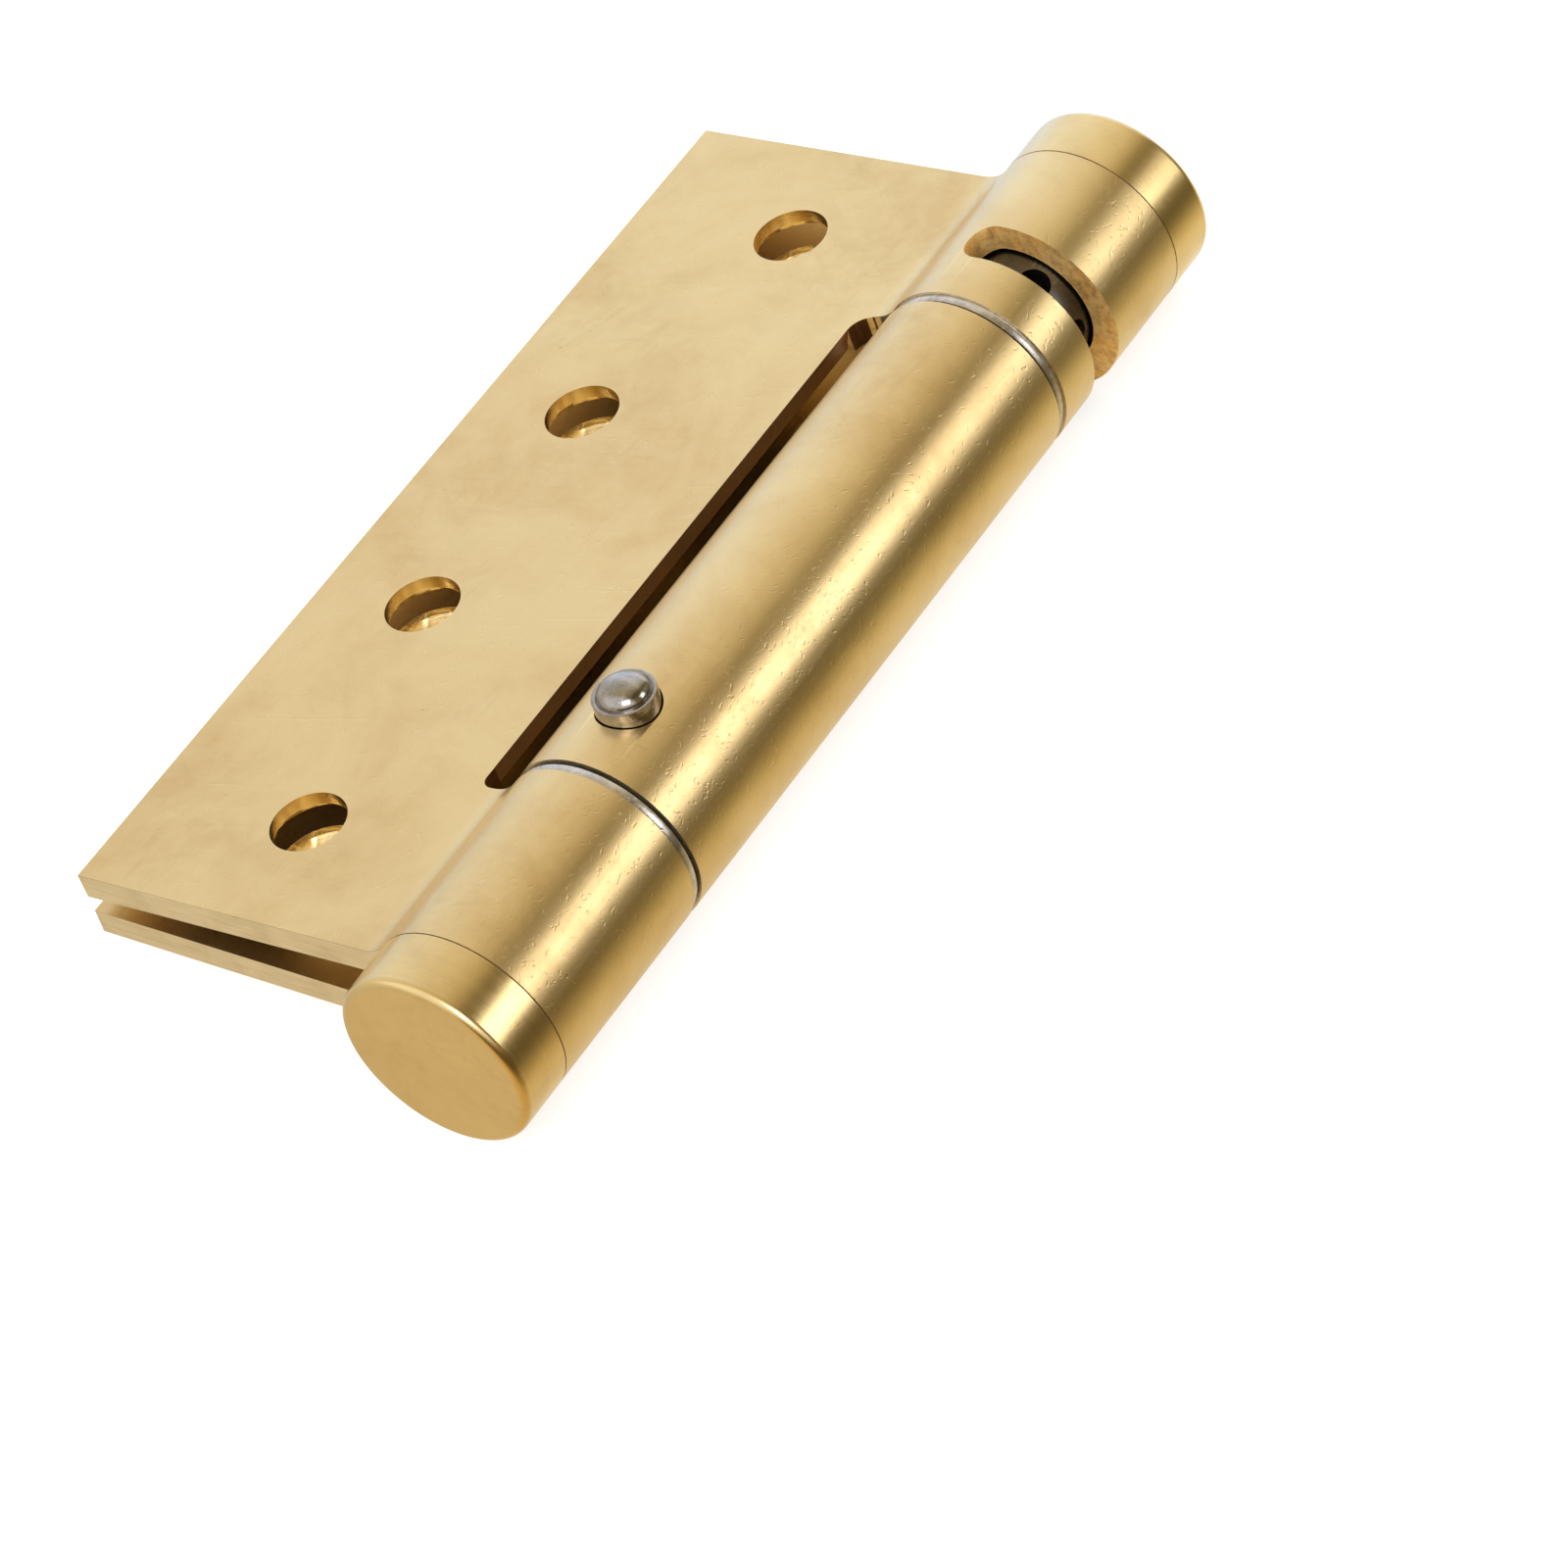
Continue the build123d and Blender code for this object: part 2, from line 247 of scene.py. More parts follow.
@dataclass(frozen=True)
class Metal:
    """A metal with cloudy tarnish, faint wandering marks, a fine grain, specks, nicks and scratches.

    Scales are repeats per metre. A streak is a turn in degrees and its scales across and along, and a
    scratch is a turn in degrees and its scale along.
    """

    name: str
    bright: Colour
    dull: Colour
    stain: Colour
    roughness: float
    grain: Triple = (2400.0, 70.0, 2400.0)
    grain_depth: float = 0.006
    grain_tone: float = 0.03
    cloud_scale: float = 62.0
    cloud_share: float = 0.8
    mark_share: float = 0.0
    speck_share: float = 0.5
    nick_depth: float = 0.015
    scratch_depth: float = 0.012
    ring_pitch: float = 0.0
    ring_depth: float = 0.0
    metal_share: float = 1.0
    small_clouds: float = 5.5
    patch_scale: float = 70.0
    speck_scale: float = 1900.0
    group_scale: float = 110.0
    streaks: tuple[Triple, ...] = (
        (32.0, 260.0, 70.0), (-48.0, 330.0, 80.0), (80.0, 800.0, 160.0), (8.0, 900.0, 190.0),
    )
    nick_scale: Triple = (3400.0, 900.0, 2200.0)
    nick_turns: tuple[float, ...] = (38.0, -27.0)
    scratch_scale: tuple[float, float] = (1700.0, 900.0)
    scratches: tuple[tuple[float, float], ...] = ((14.0, 22.0), (-23.0, 30.0), (76.0, 26.0))
    relief_height: float = 0.4
    relief_share: float = 0.5
    worn_roughness: float = 0.06
    grain_roughness: float = 0.02

    def tarnish(self, tree: Tree) -> Socket:
        """How dull each place is: wide clouds broken up by smaller ones.

        Args:
            tree: the node tree to build in.

        Returns:
            The dull share's socket.
        """
        even = tree.place(EVEN)
        wide = tree.noise(even, self.cloud_scale, detail=6.0, rough=0.62, bend=0.8)
        small = tree.noise(even, self.cloud_scale * self.small_clouds, detail=4.0, rough=0.6, bend=0.5)
        broken = tree.span(small, 0.30, 0.70, start=0.45)
        return tree.times(tree.span(wide, 0.38, 0.68), broken, self.cloud_share)

    def marks(self, tree: Tree) -> Socket:
        """Soft smears and short rubbed streaks in four directions, shown only in patches.

        Args:
            tree: the node tree to build in.

        Returns:
            The marks' share of the colour.
        """
        even = tree.place(EVEN)
        smear = None
        for turn, across, along in self.streaks:
            streak = tree.noise(tree.place((across, along, across), turn), detail=4.0, rough=0.6, bend=0.6)
            shown = tree.span(streak, 0.50, 0.78)
            smear = shown if smear is None else tree.math("MAXIMUM", smear, shown)
        patch = tree.span(tree.noise(even, self.patch_scale, rough=0.6), 0.45, 0.62)
        return tree.times(smear, patch, self.mark_share)

    def specks(self, tree: Tree) -> Socket:
        """Small dark specks in loose groups.

        Args:
            tree: the node tree to build in.

        Returns:
            The specks' share of the colour.
        """
        even = tree.place(EVEN)
        speck = tree.span(tree.noise(even, self.speck_scale, detail=2.0), 0.71, 0.77)
        group = tree.span(tree.noise(even, self.group_scale, detail=2.0), 0.52, 0.66)
        return tree.times(speck, group, self.speck_share)

    def relief(self, tree: Tree, grain: Socket) -> Socket:
        """The height of the surface: grain, short nicks, long scratches and lathe rings.

        Args:
            tree: the node tree to build in.
            grain: the grain's own noise.

        Returns:
            The height socket.
        """
        height = tree.times(grain, self.grain_depth)
        for turn in self.nick_turns:
            short = tree.noise(tree.place(self.nick_scale, turn), detail=1.0, rough=0.4)
            nick = tree.span(short, 0.66, 0.78)
            height = tree.math("SUBTRACT", height, tree.times(nick, self.nick_depth))
        across, upright = self.scratch_scale
        for turn, stretch in self.scratches:
            thread = tree.noise(tree.place((across, stretch, upright), turn), detail=1.0, rough=0.4)
            scratch = tree.span(thread, 0.75, 0.80)
            height = tree.math("SUBTRACT", height, tree.times(scratch, self.scratch_depth))
        if self.ring_pitch:
            distance = tree.add("Attribute")
            distance.attribute_name = "lathe"
            turns = tree.times(distance.outputs["Fac"], 1.0 / (self.ring_pitch * MM))
            ring = tree.noise(tree.add("CombineXYZ", X=turns).outputs[0], detail=2.0)
            height = tree.math("ADD", height, tree.times(ring, self.ring_depth))
        return height

    def material(self) -> bpy.types.Material:
        """The finished material, made once.

        Returns:
            The Blender material.
        """
        if self.name in bpy.data.materials:
            return bpy.data.materials[self.name]
        material = bpy.data.materials.new(self.name)
        tree = Tree(material)
        tarnish = self.tarnish(tree)
        grain = tree.noise(tree.place(self.grain), rough=0.6)
        colour = tree.blend(tarnish, self.bright, self.dull)
        level = tree.span(grain, 0.25, 0.75, 1.0 - self.grain_tone, 1.0 + self.grain_tone)
        colour = tree.tone(colour, level)
        if self.mark_share:
            colour = tree.blend(self.marks(tree), colour, self.stain)
        colour = tree.blend(self.specks(tree), colour, self.stain)
        wear = tree.span(tarnish, 0.0, 1.0, self.roughness, self.roughness + self.worn_roughness)
        uneven = tree.span(grain, 0.3, 0.7, -self.grain_roughness, self.grain_roughness)
        rough = tree.math("ADD", wear, uneven)
        bump = tree.add(
            "Bump", Strength=self.relief_share, Distance=self.relief_height * MM,
            Height=self.relief(tree, grain),
        )
        shader = tree.add("BsdfPrincipled", Base_Color=colour, Roughness=rough, Normal=bump.outputs[0])
        tree.put(shader, "Metallic", self.metal_share)
        tree.add("OutputMaterial", Surface=shader.outputs[0])
        return material


BRASS = Metal(
    "leaf_brass_satin", (0.81, 0.645, 0.355), (0.68, 0.485, 0.235), (0.42, 0.28, 0.13), 0.30,
    grain_depth=0.003, grain_tone=0.015, mark_share=0.22, nick_depth=0.05, scratch_depth=0.025,
)
BRASS_INNER = Metal(
    "leaf_brass_inner", (0.79, 0.62, 0.33), (0.69, 0.51, 0.255), (0.36, 0.23, 0.10), 0.28, mark_share=0.2,
)
BRASS_CUT = Metal(
    "leaf_brass_cut_edge", (0.88, 0.79, 0.62), (0.68, 0.59, 0.42), (0.26, 0.19, 0.10), 0.38,
    grain=(170.0, 170.0, 3400.0), grain_depth=0.05, grain_tone=0.10, cloud_scale=190.0, nick_depth=0.04,
)
BRASS_TURNED = Metal(
    "screw_seat_brass_turned", (1.0, 0.80, 0.42), (0.94, 0.67, 0.29), (0.25, 0.15, 0.05), 0.24,
    cloud_share=0.6, cloud_scale=260.0, ring_pitch=0.20, ring_depth=0.05, nick_depth=0.02,
)
BRASS_MILLED = Metal(
    "window_brass_milled", (1.0, 0.70, 0.28), (0.88, 0.48, 0.13), (0.22, 0.09, 0.02), 0.38,
    grain=(1500.0, 1500.0, 1500.0), grain_depth=0.25, grain_tone=0.40, cloud_scale=330.0, cloud_share=1.0,
    speck_share=0.9, nick_depth=0.12, metal_share=0.5,
)
# Dark oiled brass of the bore, also laid on the slot's long walls as painted shade for the slot's dark
# inside.
BRASS_OILED_BORE_AND_SLOT_SHADE = Metal(
    "bore_brass_oiled_and_slot_painted_shade", (0.26, 0.13, 0.054), (0.16, 0.08, 0.034), (0.04, 0.02, 0.01), 0.42,
)
BRASS_SEAM = Metal(
    "seam_brass_grimed", (0.34, 0.21, 0.09), (0.10, 0.06, 0.03), (0.03, 0.02, 0.01), 0.45,
    cloud_scale=240.0, cloud_share=1.0,
)
CAP_BRASS = Metal(
    "cap_brass_turned", (0.82, 0.64, 0.335), (0.70, 0.525, 0.255), (0.28, 0.18, 0.08), 0.22,
    grain=(40.0, 5200.0, 40.0), grain_depth=0.010, grain_tone=0.03, cloud_scale=95.0, mark_share=0.12,
    nick_depth=0.008, scratch_depth=0.006, ring_pitch=0.22, ring_depth=0.006,
)
WASHER_STEEL = Metal(
    "washer_steel_scratched", (0.66, 0.635, 0.62), (0.40, 0.385, 0.37), (0.12, 0.10, 0.08), 0.27,
    grain=(1500.0, 900.0, 1500.0), grain_depth=0.07, grain_tone=0.22, cloud_scale=420.0, nick_depth=0.06,
)
# The drum's turned steel painted dark: painted shade for the drum lying in shade inside the barrel.
DRUM_STEEL_PAINTED_SHADE = Metal(
    "drum_steel_turned_painted_shade", (0.13, 0.13, 0.135), (0.07, 0.07, 0.075), (0.03, 0.03, 0.03), 0.34,
    grain=(60.0, 3800.0, 60.0), grain_depth=0.05, grain_tone=0.16, cloud_scale=240.0, nick_depth=0.04,
)
# A bright copy of the drum's steel on the hole rims: painted highlight for the lit rims.
DRUM_RIM_PAINTED_HIGHLIGHT = Metal(
    "drum_steel_hole_rim_painted_highlight", (0.62, 0.60, 0.58), (0.44, 0.42, 0.41), (0.12, 0.11, 0.10), 0.22,
    cloud_scale=400.0,
)
STUD_STEEL = Metal(
    "stud_chrome_worn", (0.44, 0.42, 0.405), (0.17, 0.16, 0.155), (0.07, 0.06, 0.05), 0.13,
    grain=(900.0, 900.0, 900.0), grain_depth=0.004, cloud_scale=700.0, cloud_share=0.8, speck_share=0.9,
    nick_depth=0.03,
)
SPRING_STEEL = Metal(
    "spring_steel_tempered", (0.17, 0.16, 0.17), (0.10, 0.095, 0.10), (0.05, 0.04, 0.04), 0.36,
)
INNER_STEEL = Metal(
    "inner_steel_turned", (0.50, 0.50, 0.51), (0.36, 0.35, 0.35), (0.12, 0.11, 0.10), 0.30,
    grain=(60.0, 3600.0, 60.0), grain_tone=0.12,
)
BUSH_BRONZE = Metal(
    "bush_bronze_sintered", (0.52, 0.34, 0.18), (0.38, 0.24, 0.12), (0.12, 0.07, 0.03), 0.46,
    grain=(900.0, 900.0, 900.0), grain_depth=0.04, grain_tone=0.08,
)


def smooth_faces(form: bmesh.types.BMesh, crease_above: float = 44.0) -> None:
    """Smooths every face and keeps a crease at the sharper edges.

    Args:
        form: the mesh to change.
        crease_above: the angle in degrees above which an edge stays a crease.
    """
    for face in form.faces:
        face.smooth = True
    for edge in form.edges:
        edge.smooth = not edge.is_manifold or edge.calc_face_angle(0.0) < math.radians(crease_above)


def make_object(name: str, form: bmesh.types.BMesh, *materials: bpy.types.Material) -> bpy.types.Object:
    """Turns a bmesh into an object of the scene.

    Args:
        name: the name of the object and of its mesh.
        form: the mesh, which is freed.
        materials: its materials in order.

    Returns:
        The new object.
    """
    mesh = bpy.data.meshes.new(name)
    form.to_mesh(mesh)
    form.free()
    for material in materials:
        mesh.materials.append(material)
    piece = bpy.data.objects.new(name, mesh)
    bpy.context.scene.collection.objects.link(piece)
    return piece


@dataclass
class FinishedPiece:
    """A visible piece: its CAD node's copy with merged points, broken edges and smooth curved faces."""

    node: str
    body: str
    slot: str
    finishes: tuple[Metal, ...]
    edge: float = 0.10
    sharp_above: float = 28.0
    steps: int = 2
    weld: float = 0.0008
    flat_within: float = 0.6
    normal_weight: int = 60

    def shape(self) -> bmesh.types.BMesh:
        """The node's mesh with its points merged and its flat faces whole.

        Returns:
            A new bmesh, which the caller frees.
        """
        form = bmesh.new()
        form.from_mesh(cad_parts[self.node].data)
        bmesh.ops.remove_doubles(form, verts=form.verts, dist=self.weld * MM)
        bmesh.ops.dissolve_degenerate(form, dist=self.weld * MM / 2, edges=form.edges)
        bmesh.ops.dissolve_limit(
            form, angle_limit=math.radians(self.flat_within), use_dissolve_boundaries=False,
            verts=form.verts, edges=form.edges,
        )
        return form

    def break_edges(self, form: bmesh.types.BMesh) -> None:
        """Rounds every sharp edge a little.

        Args:
            form: the mesh to change.
        """
        limit = math.radians(self.sharp_above)
        sharp = [e for e in form.edges if e.is_manifold and e.calc_face_angle(0.0) > limit]
        bmesh.ops.bevel(
            form, geom=sharp, offset=self.edge * MM, offset_type="OFFSET", affect="EDGES",
            segments=self.steps, profile=0.5, material=-1, clamp_overlap=True,
        )

    def made_by(self, middle: Vector, normal: Vector) -> Face:
        """Tells what made a face.

        Args:
            middle: the face's middle in metres.
            normal: the face's outward normal.

        Returns:
            The kind of face, which is one of those that the piece has finishes for.
        """
        return Face.OUTER

    def lathe_distance(self, point: Vector) -> float:
        """The distance in metres of a point from the axis that its face was turned about."""
        return math.hypot(point.x, point.z)

    def build(self) -> bpy.types.Object:
        """Makes the piece, gives it its finishes and lets it ride in its node's place.

        Returns:
            The new object.
        """
        form = self.shape()
        self.break_edges(form)
        layer = form.verts.layers.float.new("lathe")
        for point in form.verts:
            point[layer] = self.lathe_distance(point.co)
        for face in form.faces:
            face.material_index = self.made_by(face.calc_center_median(), face.normal).value
        smooth_faces(form)
        materials = [finish.material() for finish in self.finishes]
        piece = make_object(self.node + "_finished", form, *materials)
        weights = piece.modifiers.new("even_flats", "WEIGHTED_NORMAL")
        weights.keep_sharp = True
        weights.weight = self.normal_weight
        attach(piece, self.body)
        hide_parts(self.node)
        return piece


@dataclass
class Leaf(FinishedPiece):
    """A leaf with its rolled knuckles, screw seats, window, slot and bore, each in its tool's finish, except
    the slot's long walls, which get the bore's dark brass as painted shade.

    A slope says how near a face's normal is to a direction, from 0 where it is square to it to 1.
    """

    along: Vector = field(default_factory=lambda: Vector((1.0, 0.0, 0.0)))
    outward: Vector = field(default_factory=lambda: Vector((0.0, 0.0, -1.0)))
    half_length: float = 51.0
    width: float = 42.0
    inner_face: float = 2.1
    barrel: float = 9.25
    bore: float = 6.65
    slot_edge: float = 11.2
    slot_half: float = 31.15
    near_row: float = 24.3
    tip_row: float = 30.5
    near_half: float = 39.35
    tip_half: float = 13.0
    hole: float = 3.55
    seat: float = 5.5
    seen_seat: float = 4.84
    seen_seat_depth: float = 1.29
    window_middle: float = 38.3
    window_half: float = 2.15
    window_floor: float = 2.0
    has_window: bool = False
    slot_bevel: float = 1.2
    slot_rim: float = 1.0
    knuckle_gap: float = 1.2
    stud_place: float = -22.55
    stud_hole: float = 3.02
    reach: float = 0.15
    flat_slope: float = 0.97
    window_slope: float = 0.4
    bore_slope: float = 0.5
    seam_slope: float = 0.15
    slot_slope: float = 0.2
    slot_end_slope: float = 0.3
    cut_slope: float = 0.75
    inner_slope: float = 0.9

    def holes(self) -> list[tuple[float, float]]:
        """The places of the screw holes along the leaf and along the barrel."""
        rows = ((self.near_row, self.near_half), (self.tip_row, self.tip_half))
        return [(-row, side * half) for row, half in rows for side in (-1, 1)]

    def nearest_hole(self, point: Vector) -> tuple[float, float, float]:
        """The distance from the nearest hole's axis and that axis's place, all in millimetres."""
        x, y = point.dot(self.along) / MM, point.y / MM
        return min((math.hypot(x - hx, y - hy), hx, hy) for hx, hy in self.holes())

    def lathe_distance(self, point: Vector) -> float:
        """The distance in metres of a point from the nearest screw hole's axis."""
        return self.nearest_hole(point)[0] * MM

    def shape(self) -> bmesh.types.BMesh:
        """The cleaned copy, with its screw seats drawn in to the narrower ones that show.

        Returns:
            A new bmesh, which the caller frees.
        """
        form = super().shape()
        cad_depth = self.seat - self.hole
        for point in form.verts:
            distance, hx, hy = self.nearest_hole(point.co)
            height = point.co.dot(self.outward) / MM - self.inner_face
            if distance > self.seat + self.reach:
                continue
            if height < self.reach:
                middle = self.along * hx + Vector((0.0, hy, 0.0)) + self.outward * self.inner_face
                point.co = middle * MM + (point.co - middle * MM) * (self.seen_seat / self.seat)
            elif abs(height - cad_depth) < self.reach:
                point.co += self.outward * (self.seen_seat_depth - cad_depth) * MM
        return form

    def is_seam(self, y: float, radius: float, slant: bool) -> bool:
        """Tells a rounded edge where grime collects: round the knuckles' ends and along the leaf's ends.

        Args:
            y: the place along the barrel.
            radius: the distance from the barrel axis.
            slant: whether the face leans between the barrel's direction and square to it.

        Returns:
            Whether the face is such an edge.
        """
        ends = (self.half_length, self.slot_half, self.slot_half - self.knuckle_gap)
        near_end = any(abs(abs(y) - end) < self.reach for end in ends)
        return slant and near_end and radius > self.barrel - self.reach

    def made_by(self, middle: Vector, normal: Vector) -> Face:
        """Tells what made a face from where it is and where it points.

        Args:
            middle: the face's middle in metres.
            normal: the face's outward normal.

        Returns:
            The kind of face.
        """
        out, along, end_on = normal.dot(self.outward), normal.dot(self.along), abs(normal.y)
        x, y = middle.dot(self.along) / MM, middle.y / MM
        height = middle.dot(self.outward) / MM
        radius = math.hypot(middle.x, middle.z) / MM
        inward = -(normal.x * middle.x + normal.z * middle.z)
        in_window = self.has_window and abs(y - self.window_middle) < self.window_half + self.reach
        beside_slot = abs(y) < self.slot_half + self.reach
        at_tip = x < self.reach - self.width
        if self.nearest_hole(middle)[0] < self.seen_seat + self.reach / 2 and abs(out) < self.flat_slope:
            return Face.TURNED
        if in_window and (end_on > self.window_slope or x < self.window_floor and along > self.window_slope):
            return Face.MILLED
        if radius < self.bore + self.reach and inward > 0.0 and end_on < self.bore_slope:
            return Face.BORE_AND_SLOT_SHADE
        if not self.has_window and math.hypot(x, y - self.stud_place) < self.stud_hole + self.reach:
            return Face.SEAM
        if not at_tip and self.is_seam(y, radius, self.seam_slope < end_on < self.flat_slope):
            return Face.SEAM
        # The slot's long walls take the bore's dark brass: painted shade for the shade and dark reflection in
        # the slot.
        if beside_slot and -self.slot_bevel < x + self.slot_edge < self.slot_rim and along > self.slot_slope:
            return Face.BORE_AND_SLOT_SHADE
        if beside_slot and end_on > self.slot_end_slope and radius > self.barrel + self.reach:
            return Face.MILLED
        if end_on > self.cut_slope or at_tip and along < -self.cut_slope:
            return Face.CUT
        if out < -self.inner_slope and height < self.inner_face + self.reach and radius > self.barrel:
            return Face.INNER
        return Face.OUTER


@dataclass
class Cap(FinishedPiece):
    """A turned end cap, with grime in the seam against its knuckle."""

    half_length: float = 51.0
    barrel: float = 9.25
    reach: float = 0.15
    seam_slope: float = 0.15

    def made_by(self, middle: Vector, normal: Vector) -> Face:
        """The seam's rounded edge is grimed, and the rest is turned.

        Args:
            middle: the face's middle in metres.
            normal: the face's outward normal.

        Returns:
            The kind of face, of which a cap has two.
        """
        at_seam = abs(middle.y / MM) < self.half_length + self.reach
        outside = math.hypot(middle.x, middle.z) / MM > self.barrel - self.reach
        return Face.CUT if at_seam and outside and abs(normal.y) > self.seam_slope else Face.OUTER


@dataclass
class Drum(FinishedPiece):
    """The tension drum, its steel painted dark as painted shade, whose radial holes have bright broken rims
    as painted highlight.
    """

    middle: float = 38.3
    radius: float = 6.3
    hole: float = 1.5
    count: int = 6
    phase: float = 55.0
    closing: float = 3.4
    reach: float = 0.28
    slack: float = 0.05
    outside_slope: float = 0.93

    def made_by(self, middle: Vector, normal: Vector) -> Face:
        """A hole's rim gets the bright steel as painted highlight, and the rest is turned steel painted dark
        as painted shade.

        Args:
            middle: the face's middle in metres.
            normal: the face's outward normal.

        Returns:
            The kind of face, of which a drum has two.
        """
        if math.hypot(middle.x, middle.z) / MM < self.radius - self.reach:
            return Face.OUTER
        for step in range(self.count):
            turn = math.radians(self.phase + self.closing + step * 360.0 / self.count)
            axis = Vector((math.cos(turn), 0.0, math.sin(turn)))
            offset = middle / MM - Vector((0.0, self.middle, 0.0))
            across = (offset - axis * offset.dot(axis)).length
            leans = offset.dot(axis) > 0.0 and normal.dot(axis) < self.outside_slope
            if leans and self.hole - self.slack < across < self.hole + self.reach:
                return Face.CUT
        return Face.OUTER


@dataclass
class Stud(FinishedPiece):
    """The domed stud, turned anew so that its dome stands like a ball in a small rim."""

    place: float = -22.55
    foot: float = 6.65
    shank_length: float = 3.2
    shank: float = 2.0
    radius: float = 2.9
    shoulder: float = 10.6
    top: float = 11.85
    dome: float = 2.38
    groove: float = 0.18
    dome_points: int = 9
    turns: int = 72

    def profile(self) -> list[tuple[float, float]]:
        """The half section of the stud.

        Returns:
            Points of a radius and a height in millimetres, from its foot to its top.
        """
        low, rise = self.shoulder - self.groove, self.top - self.shoulder + self.groove
        angles = [math.pi / 2 * step / self.dome_points for step in range(self.dome_points + 1)]
        dome = [(self.dome * math.cos(a), low + rise * math.sin(a)) for a in angles]
        return [
            (0.0, self.foot - self.shank_length), (self.shank, self.foot - self.shank_length),
            (self.shank, self.foot), (self.radius, self.foot), (self.radius, self.shoulder),
            (self.dome + self.groove, self.shoulder), *dome,
        ]

    def shape(self) -> bmesh.types.BMesh:
        """The section spun about the stud's own axis.

        Returns:
            A new bmesh, which the caller frees.
        """
        form = bmesh.new()
        points = [form.verts.new((r * MM, self.place * MM, z * MM)) for r, z in self.profile()]
        edges = [form.edges.new(pair) for pair in zip(points, points[1:])]
        bmesh.ops.spin(
            form, geom=points + edges, cent=(0.0, self.place * MM, 0.0), axis=(0.0, 0.0, 1.0),
            angle=math.tau, steps=self.turns, use_merge=True,
        )
        bmesh.ops.remove_doubles(form, verts=form.verts, dist=self.weld * MM)
        bmesh.ops.recalc_face_normals(form, faces=form.faces)
        return form

    def lathe_distance(self, point: Vector) -> float:
        """The distance in metres of a point from the stud's axis."""
        return math.hypot(point.x, point.y - self.place * MM)


@dataclass
class SpringHalf:
    """Half of the torsion spring, cut at its middle, with the two bodies that it lies between."""

    name: str
    first_body: str
    last_body: str
    on_drum_side: bool
    node: str = "torsion_spring"
    held: float = 4.4
    weld: float = 0.0008

    def build(self) -> bpy.types.Object:
        """Cuts the half from its node's mesh and closes the cut.

        Returns:
            The new object.
        """
        low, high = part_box(self.node)
        middle = (low.y + high.y) / 2
        form = bmesh.new()
        form.from_mesh(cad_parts[self.node].data)
        bmesh.ops.remove_doubles(form, verts=form.verts, dist=self.weld * MM)
        away = -1.0 if self.on_drum_side else 1.0
        bmesh.ops.bisect_plane(
            form, geom=[*form.verts, *form.edges, *form.faces], dist=self.weld * MM / 2,
            plane_co=(0.0, middle, 0.0), plane_no=(0.0, away, 0.0), clear_outer=True,
        )
        bmesh.ops.holes_fill(form, edges=[edge for edge in form.edges if edge.is_boundary], sides=0)
        bmesh.ops.recalc_face_normals(form, faces=form.faces)
        smooth_faces(form)
        piece = make_object(self.name, form, SPRING_STEEL.material())
        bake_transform(piece)
        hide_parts(self.node)
        return piece


@dataclass(frozen=True)
class Softbox:
    """A large soft lamp in metres, given by the direction that it stands in as seen from the hinge.

    Its level is the brightness of its face, where 1 shows as white.
    """

    name: str
    direction: Triple
    width: float
    height: float
    level: float
    distance: float = 1.2
    mirrored: bool = True

    def build(self) -> bpy.types.Object:
        """Makes the lamp, turned towards the hinge.

        Returns:
            The lamp object.
        """
        data = bpy.data.lights.new(self.name, "AREA")
        data.shape = "RECTANGLE"
        data.size, data.size_y = self.width, self.height
        data.energy = self.level * math.pi * self.width * self.height
        lamp = bpy.data.objects.new(self.name, data)
        bpy.context.scene.collection.objects.link(lamp)
        way = Vector(self.direction).normalized()
        lamp.location = way * self.distance
        lamp.rotation_mode = "QUATERNION"
        lamp.rotation_quaternion = way.to_track_quat("Z", "Y")
        lamp.visible_camera = False
        lamp.visible_glossy = self.mirrored
        return lamp


